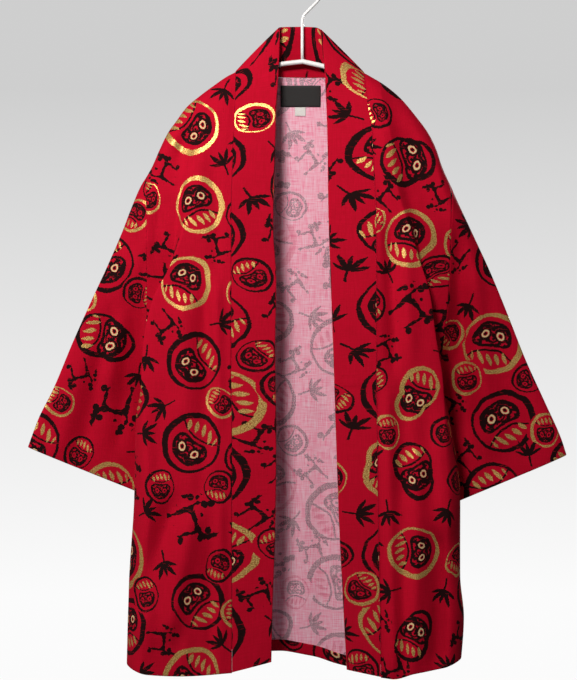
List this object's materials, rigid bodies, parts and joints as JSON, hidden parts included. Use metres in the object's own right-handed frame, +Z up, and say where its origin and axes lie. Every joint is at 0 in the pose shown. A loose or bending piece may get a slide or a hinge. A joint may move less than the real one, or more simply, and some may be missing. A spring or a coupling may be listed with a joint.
{
  "type": "hanten coat on a hanger",
  "caption": "Short loose printed cotton coat with wide straight sleeves, open front and doubled collar band, hung on a slim hanger with a wire hook.",
  "frame": {"origin": "inner top of the hanger's hook, where a rod or wall hook holds it", "axes": "+Z up, -Y the coat's front, +X to the viewer's right when seen from the front"},
  "size_m": [0.721, 0.1257, 0.9371],
  "materials": {
    "printed_cotton": "matt slubby cotton, red with black and gold print, pink on the reverse",
    "black_label": "woven, bare",
    "white_tag": "woven, bare",
    "white_plastic": "smooth",
    "white_wire": "white coated wire"
  },
  "bodies": {
    "root": {"back": "printed_cotton", "front_left": "printed_cotton", "front_right": "printed_cotton", "sleeve_left": "printed_cotton", "sleeve_right": "printed_cotton", "collar": "printed_cotton", "neck_label": "black_label", "size_tag": "white_tag", "hanger_arms": "white_plastic", "hanger_hook": "white_wire"}
  },
  "joints": []
}
